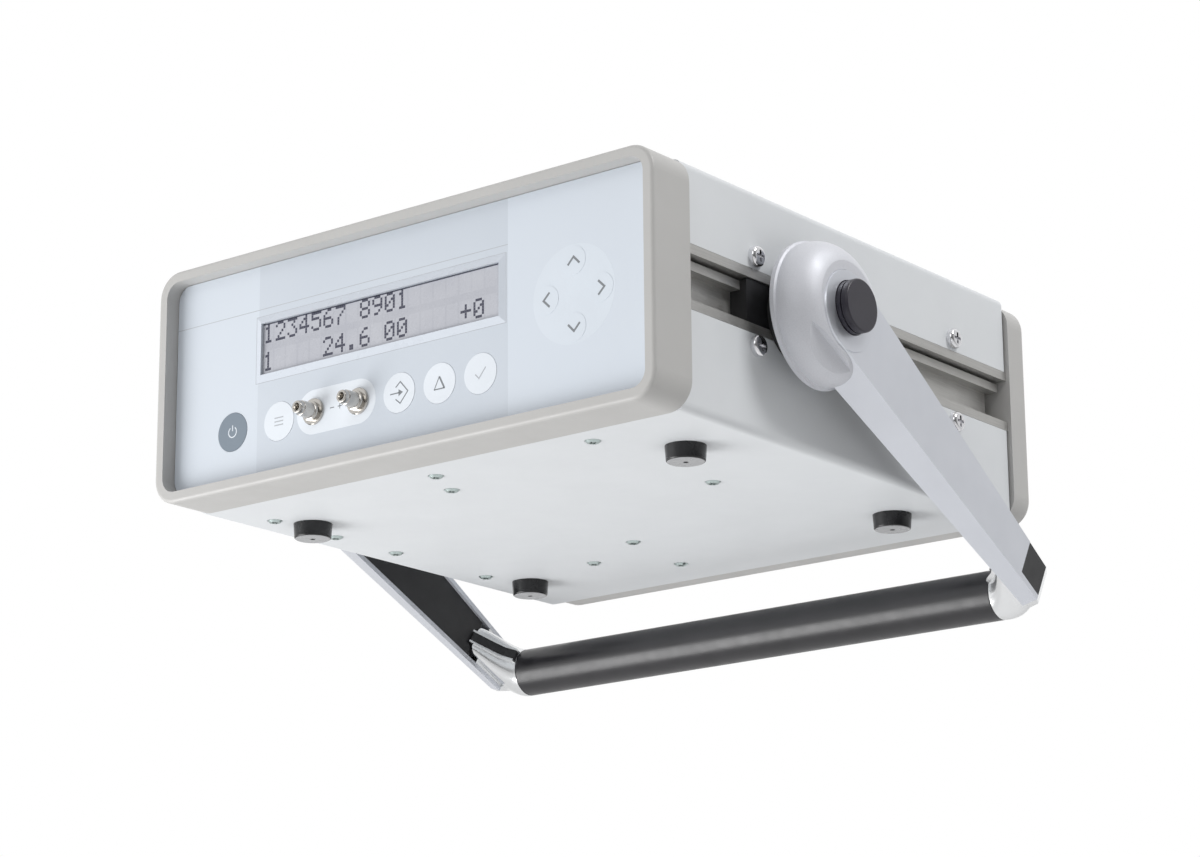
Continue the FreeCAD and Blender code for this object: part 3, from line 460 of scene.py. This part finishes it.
NODE_MATERIALS = {
    "frame_paint": ("front_frame", "rear_frame"),
    "cover_paint": ("top_cover", "bottom_cover"),
    "rail_metal": ("side_rail_left", "side_rail_right"),
    "rubber": ("rubber_feet",),
    "chrome": ("side_screws", "rear_screws", "serial_connector"),
    "zinc": ("foot_screws", "bottom_screws"),
    "brass": ("board_standoffs", "earth_terminal"),
    "membrane_film": ("front_membrane",),
    "panel_metal": ("front_panel", "rear_panel"),
    "bezel": ("display_bezel",),
    "display_face": ("display_glass",),
    "steel": ("display_module", "pivot_bolt_left", "pivot_bolt_right",
              "release_spring_left", "release_spring_right"),
    "circuit_board": ("keypad_board", "main_board", "power_supply_board"),
    "nickel": ("hose_port_left", "hose_port_right", "port_nuts"),
    "laminations": ("transformer",),
    "black_nylon": ("pressure_sensor", "zero_valve", "mains_inlet", "groove_block_left",
                    "groove_block_right", "detent_ring_left", "detent_ring_right",
                    "arm_inserts", "corner_caps", "corner_strips"),
    "silicone": ("inner_hoses",),
    "hub_paint": ("handle_hub_left", "handle_hub_right"),
    "arm_metal": ("handle_arm_left", "handle_arm_right"),
    "corner_metal": ("grip_corner_left", "grip_corner_right"),
    "grip_skin": ("handle_grip",),
    "button_skin": ("release_button_left", "release_button_right"),
    "power_ink": ("power_key",),
    "white_ink": ("menu_key", "enter_key", "range_key", "test_key"),
    "pad_ink": ("up_key", "down_key", "left_key", "right_key"),
}


def dress_nodes():
    """Give every CAD node its finish."""
    for finish, names in NODE_MATERIALS.items():
        for name in names:
            mesh = nodes[name].data
            mesh.materials.clear()
            mesh.materials.append(MATERIALS[finish])


# ---------------------------------------------------------------- mesh helpers


def piece(name, mesh, finish, body):
    """New object in the shared frame that rides on a body."""
    made = bpy.data.objects.new(name, mesh)
    bpy.context.scene.collection.objects.link(made)
    mesh.materials.append(MATERIALS[finish])
    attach(made, body)
    return made


def mesh_from(bm, name, smooth=False):
    bmesh.ops.recalc_face_normals(bm, faces=bm.faces)
    mesh = bpy.data.meshes.new(name)
    bm.to_mesh(mesh)
    bm.free()
    mesh.polygons.foreach_set("use_smooth", [smooth] * len(mesh.polygons))
    return mesh


def add_plate(bm, outline, y, depth):
    """Thin plate with this outline of (x, z) points, standing depth out of the plane at y."""
    back = [bm.verts.new(at(x, y, z)) for x, z in outline]
    front = [bm.verts.new(at(x, y - depth, z)) for x, z in outline]
    bm.faces.new(front)
    bm.faces.new(back[::-1])
    count = len(outline)
    for i in range(count):
        j = (i + 1) % count
        bm.faces.new((front[i], back[i], back[j], front[j]))


def printed(name, outlines, finish, body="case", y=FILM_Y, depth=INK):
    """Printed marks as one thin piece."""
    bm = bmesh.new()
    for outline in outlines:
        add_plate(bm, outline, y + SINK, depth + SINK)
    return piece(name, mesh_from(bm, name), finish, body)


def stroke(points, width):
    """Outline of a line of that width along (x, z) points, with mitred corners."""
    left, right = [], []
    count = len(points)
    for i, (x, z) in enumerate(points):
        before = points[max(i - 1, 0)]
        after = points[min(i + 1, count - 1)]
        d1 = Vector((x - before[0], z - before[1]))
        d2 = Vector((after[0] - x, after[1] - z))
        d1 = d2 if i == 0 else d1
        d2 = d1 if i == count - 1 else d2
        n1 = Vector((-d1.y, d1.x)).normalized()
        n2 = Vector((-d2.y, d2.x)).normalized()
        across = (n1 + n2).normalized()
        reach = width / 2 / max(across.dot(n1), 0.3)
        left.append((x + across.x * reach, z + across.y * reach))
        right.append((x - across.x * reach, z - across.y * reach))
    return left + right[::-1]


def arc(x, z, r, start, end, count=24):
    """Points round (x, z) from start to end degrees, with 0 to the right."""
    steps = [math.radians(start + (end - start) * i / count) for i in range(count + 1)]
    return [(x + r * math.cos(a), z + r * math.sin(a)) for a in steps]


# ---------------------------------------------------------------- front panel


def print_panel():
    """Lines, surrounds and signs printed on the film and round the display, and painted shadow
    lines inside the display window.
    """
    line = [stroke([(PANEL_LEFT, LINE_Z), (COLUMN_X[1], LINE_Z)], 0.25)]
    printed("panel_line", line, "pale_ink")
    x0, x1, z0, z1 = *WINDOW_X, *WINDOW_Z
    w = BEZEL_W + 0.1
    corners = [(x0 - w, z0 - w), (x1 + w, z0 - w), (x1 + w, z1 + w), (x0 - w, z1 + w)]
    rim = [stroke([corners[i - 1], corners[i]], HAIRLINE) for i in range(4)]
    printed("display_outline", rim, "pale_ink")
    # Painted shadow: dark lines on the glass along the top and right inside edges of the display
    # window, where the film's edge shades it
    painted_shadow = [stroke([(x0 + 0.2, z1 - 0.4), (x1 - 0.2, z1 - 0.4)], SHADOW_LINE_W),
            stroke([(x1 - 0.4, z0 + 0.2), (x1 - 0.4, z1 - 0.2)], SHADOW_LINE_W)]
    printed("display_painted_shadow", painted_shadow, "display_dots", y=GLASS_Y, depth=DOT_RISE)
    middle = sum(PORT_X) / 2
    half = (PORT_X[1] - PORT_X[0]) / 2
    pill = arc(middle + half, PORT_Z, PILL_R, -90, 90) + arc(middle - half, PORT_Z, PILL_R, 90, 270)
    printed("port_surround", [pill], "white_ink")
    minus = stroke([(middle - 2.9, PORT_Z), (middle - 0.9, PORT_Z)], THIN)
    plus = [stroke([(middle + 0.9, PORT_Z), (middle + 2.9, PORT_Z)], THIN),
            stroke([(middle + 1.9, PORT_Z - 1), (middle + 1.9, PORT_Z + 1)], THIN)]
    printed("port_signs", [minus] + plus, "grey_ink", depth=2 * INK)
    printed("pad_disc", [arc(*PAD, PAD_DISC_R, 0, 357, 95)], "pad_ink", depth=0.5 * INK)


def key_mark(key, outlines, finish):
    """Symbol on a key, which moves with it."""
    printed(key + "_mark", outlines, finish, key, KEY_Y)


def print_keys():
    """Power sign, three lines, arrow into a diamond, triangle, tick and four chevrons."""
    x, z = POWER_X, KEY_ROW_Z
    power = [stroke(arc(x, z, 2.0, 125, 415), 0.4), stroke([(x, z + 0.4), (x, z + 2.6)], 0.4)]
    key_mark("power_key", power, "white_ink")
    x = MENU_X
    bars = [stroke([(x - 2.2, z + dz), (x + 2.2, z + dz)], MEDIUM) for dz in (-1.4, 0.0, 1.4)]
    key_mark("menu_key", bars, "pale_ink")
    x = ENTER_X
    shaft = stroke([(x - 4.2, z), (x + 0.2, z)], MEDIUM)
    head = [(x - 0.2, z + 1.3), (x - 0.2, z - 1.3), (x + 1.9, z)]
    diamond = [(x - 1.6, z + 2.2), (x + 0.6, z + 4.0), (x + 4.2, z), (x + 0.6, z - 4.0),
               (x - 1.6, z - 2.2)]
    key_mark("enter_key", [shaft, head, stroke(diamond, MEDIUM)], "grey_ink")
    x = RANGE_X
    triangle = [stroke([(x, z + 2.4), (x + 2.3, z - 2.0)], 0.7),
                stroke([(x - 2.5, z - 2.1), (x + 2.6, z - 2.1)], MEDIUM),
                stroke([(x, z + 2.5), (x - 2.3, z - 2.0)], 0.4)]
    key_mark("range_key", triangle, "grey_ink")
    x = TEST_X
    tick = [stroke([(x - 2.3, z), (x - 0.6, z - 1.7), (x + 2.5, z + 2.0)], MEDIUM)]
    key_mark("test_key", tick, "pale_ink")
    directions = {"up_key": (0, 1), "down_key": (0, -1), "left_key": (-1, 0), "right_key": (1, 0)}
    for name, (dx, dz) in directions.items():
        cx, cz = PAD[0] + dx * PAD_REACH, PAD[1] + dz * PAD_REACH
        tip = (cx + 1.4 * dx, cz + 1.4 * dz)
        wing = [(cx - 1.3 * dx + 2.6 * dz * s, cz - 1.3 * dz + 2.6 * dx * s) for s in (-1, 1)]
        key_mark(name, [stroke([wing[0], tip, wing[1]], BOLD)], "grey_ink")


def nipple(side, x, profile):
    """Turned nipple with a knurled shank, which stands for the CAD node."""
    bm = bmesh.new()
    rings = []
    for out, radius in profile:
        ring = []
        for i in range(NIPPLE_SIDES):
            r = radius - (KNURL_DEPTH if KNURLED[0] < out < KNURLED[1] and i % 3 == 0 else 0.0)
            a = 2 * math.pi * i / NIPPLE_SIDES
            point = at(x + r * math.cos(a), FILM_Y - out, PORT_Z + r * math.sin(a))
            ring.append(bm.verts.new(point))
        rings.append(ring)
    for here, there in zip(rings, rings[1:]):
        for i in range(NIPPLE_SIDES):
            j = (i + 1) % NIPPLE_SIDES
            bm.faces.new((here[i], here[j], there[j], there[i]))
    replaced = "hose_port_" + side
    name = replaced + "_turned"
    made = piece(name, mesh_from(bm, name, True), "nickel", "case")
    made.modifiers.new("edges", "EDGE_SPLIT").split_angle = math.radians(35)
    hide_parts(replaced)


def hose_nipples():
    """Flange, neck, knurled shank and tip of each nipple, and its thread behind the panel."""
    shank = [(2.7 + 0.3 * i, 3.0 - 0.012 * i) for i in range(16)]
    profile = NIPPLE_BACK + shank + NIPPLE_TIP
    for side, x in zip(("left", "right"), PORT_X):
        nipple(side, x, profile)


def coil_springs():
    """Wire coil under each release button."""
    first, last = SPRING_X
    count = SPRING_TURNS * SPRING_RUNS
    for side, sign in (("left", -1), ("right", 1)):
        bm = bmesh.new()
        rings = []
        for i in range(count + 1):
            turned = 2 * math.pi * i / SPRING_RUNS
            outward = Vector((0, math.cos(turned), math.sin(turned)))
            x = first + SPRING_WIRE + (last - first - 2 * SPRING_WIRE) * i / count
            middle = Vector((sign * x, PIVOT[0], PIVOT[1])) + outward * SPRING_R
            ring = []
            for j in range(SPRING_SIDES):
                a = 2 * math.pi * j / SPRING_SIDES
                skin = outward * math.cos(a) + Vector((sign * math.sin(a), 0, 0))
                ring.append(bm.verts.new(at(*(middle + skin * SPRING_WIRE))))
            rings.append(ring)
        for here, there in zip(rings, rings[1:]):
            for j in range(SPRING_SIDES):
                k = (j + 1) % SPRING_SIDES
                bm.faces.new((here[j], here[k], there[k], there[j]))
        bm.faces.new(rings[0])
        bm.faces.new(rings[-1][::-1])
        node = "release_spring_" + side
        made = piece(node + "_coil", mesh_from(bm, node, True), "steel", "handle")
        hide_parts(node)
        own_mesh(made)


def write_display():
    """Dots of the two lines on the liquid-crystal cell."""
    bm = bmesh.new()
    for text, bottom in zip(ROW_TEXTS, ROW_BOTTOMS):
        for place, character in enumerate(text):
            for row, dots in enumerate(GLYPHS.get(character, ())):
                for column, dot in enumerate(dots):
                    if dot == "0":
                        continue
                    x = TEXT_X + place * CHARACTER_PITCH + column * DOT_PITCH[0]
                    z = bottom + (6 - row) * DOT_PITCH[1]
                    w, h = DOT_SIZE
                    corners = [(x, z), (x + w, z), (x + w, z + h), (x, z + h)]
                    add_plate(bm, corners, GLASS_Y, DOT_RISE)
    piece("display_dots", mesh_from(bm, "display_dots"), "display_dots", "case")


# ---------------------------------------------------------------- studio


def soft_light(name, place, target, size, power, colour=(1, 1, 1)):
    """Square softbox that faces a point."""
    data = bpy.data.lights.new(name, "AREA")
    data.shape = "SQUARE"
    data.size = size
    data.energy = power
    data.color = colour
    lamp = bpy.data.objects.new(name, data)
    bpy.context.scene.collection.objects.link(lamp)
    lamp.location = place
    lamp.rotation_mode = "QUATERNION"
    lamp.rotation_quaternion = (Vector(target) - Vector(place)).to_track_quat("-Z", "Y")


def surroundings():
    """White behind the object, turning darker round the viewer's side of the room."""
    world = bpy.data.worlds.new("studio")
    bpy.context.scene.world = world
    world.use_nodes = True
    tree = world.node_tree
    place = tree.nodes.new("ShaderNodeTexCoord").outputs["Generated"]
    along = tree.nodes.new("ShaderNodeVectorMath")
    along.operation = "DOT_PRODUCT"
    along.inputs[1].default_value = BRIGHT_SIDE
    tree.links.new(place, along.inputs[0])
    fall = tree.nodes.new("ShaderNodeMapRange")
    fall.interpolation_type = "SMOOTHSTEP"
    limits = {"From Min": -1.0, "From Max": 0.55, "To Min": DARK_LEVEL, "To Max": 1.0}
    for name, value in limits.items():
        fall.inputs[name].default_value = value
    tree.links.new(along.outputs["Value"], fall.inputs["Value"])
    background = tree.nodes["Background"]
    background.inputs["Color"].default_value = (1.0, 1.0, 1.0, 1.0)
    tree.links.new(fall.outputs[0], background.inputs["Strength"])


def studio():
    """Surroundings, pale floor far below, and softboxes."""
    surroundings()
    centre = Vector((0, 0, 0.08))
    soft_light("key_light", (1.25, 0.15, 1.35), centre, 0.6, KEY_POWER)
    soft_light("front_light", (0.5, -1.6, 0.9), centre, 0.8, FRONT_POWER)
    soft_light("low_light", (-0.65, -0.70, -0.42), centre, 0.7, LOW_POWER)
    bm = bmesh.new()
    bmesh.ops.create_grid(bm, x_segments=1, y_segments=1, size=FLOOR_SIZE / 2)
    bmesh.ops.translate(bm, verts=bm.verts, vec=(0, 0, FLOOR_Z))
    floor = bpy.data.objects.new("floor", mesh_from(bm, "floor"))
    bpy.context.scene.collection.objects.link(floor)
    paint = coated("floor_paint", (0.86, 0.86, 0.86), 0.6, 2.0, 0.02, 0.01)
    floor.data.materials.append(paint.material)
    bpy.context.scene.view_settings.view_transform = "Standard"


def camera():
    a, e, roll = (math.radians(v) for v in (VIEW_AZIMUTH, VIEW_ELEVATION, VIEW_ROLL))
    back = Vector((math.sin(a) * math.cos(e), -math.cos(a) * math.cos(e), math.sin(e)))
    level = Vector((math.cos(a), math.sin(a), 0))
    upright = back.cross(level)
    right = level * math.cos(roll) + upright * math.sin(roll)
    up = back.cross(right)
    data = bpy.data.cameras.new("camera")
    data.lens = VIEW_LENS
    data.sensor_width = 36.0
    data.clip_start, data.clip_end = 0.01, 50.0
    made = bpy.data.objects.new("camera", data)
    bpy.context.scene.collection.objects.link(made)
    made.rotation_mode = "QUATERNION"
    made.rotation_quaternion = Matrix((right, up, back)).transposed().to_quaternion()
    made.location = VIEW_TARGET + back * VIEW_DISTANCE
    bpy.context.scene.camera = made


camera()
studio()
dress_nodes()
print_panel()
print_keys()
hose_nipples()
coil_springs()
write_display()
